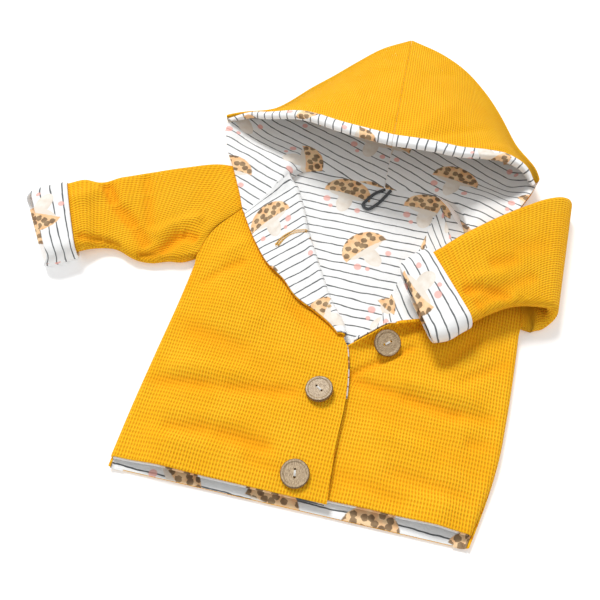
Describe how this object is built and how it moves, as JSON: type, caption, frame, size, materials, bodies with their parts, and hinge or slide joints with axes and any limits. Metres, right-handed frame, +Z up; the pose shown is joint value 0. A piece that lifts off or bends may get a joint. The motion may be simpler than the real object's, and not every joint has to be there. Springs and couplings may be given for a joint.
{
  "type": "baby jacket",
  "caption": "Hooded baby jacket of waffle knit with a striped jersey lining, laid flat with its neck open and one sleeve folded over the front.",
  "frame": {"origin": "under the middle of the back panel, on the surface the jacket lies on", "axes": "+Z up out of that surface, +Y from the hem towards the hood, -X towards the side of the front that laps over"},
  "size_m": [0.5034, 0.5276, 0.0682],
  "materials": {
    "waffle_knit": "deep waffle knit",
    "lining_jersey": "smooth printed jersey",
    "loop_cord": "knitted cord",
    "coconut_shell": "satin"
  },
  "bodies": {
    "root": {"back": "waffle_knit", "back_lining": "lining_jersey", "front_left": "waffle_knit", "front_left_lining": "lining_jersey", "front_right": "waffle_knit", "front_right_lining": "lining_jersey", "hood_left": "waffle_knit", "hood_left_lining": "lining_jersey", "hood_right": "waffle_knit", "hood_right_lining": "lining_jersey", "sleeve_left": "waffle_knit", "sleeve_right": "waffle_knit", "cuff_left": "lining_jersey", "cuff_right": "lining_jersey", "hanger_loop": "loop_cord", "button_1": "coconut_shell", "button_2": "coconut_shell", "button_3": "coconut_shell", "button_4": "coconut_shell"}
  },
  "joints": []
}
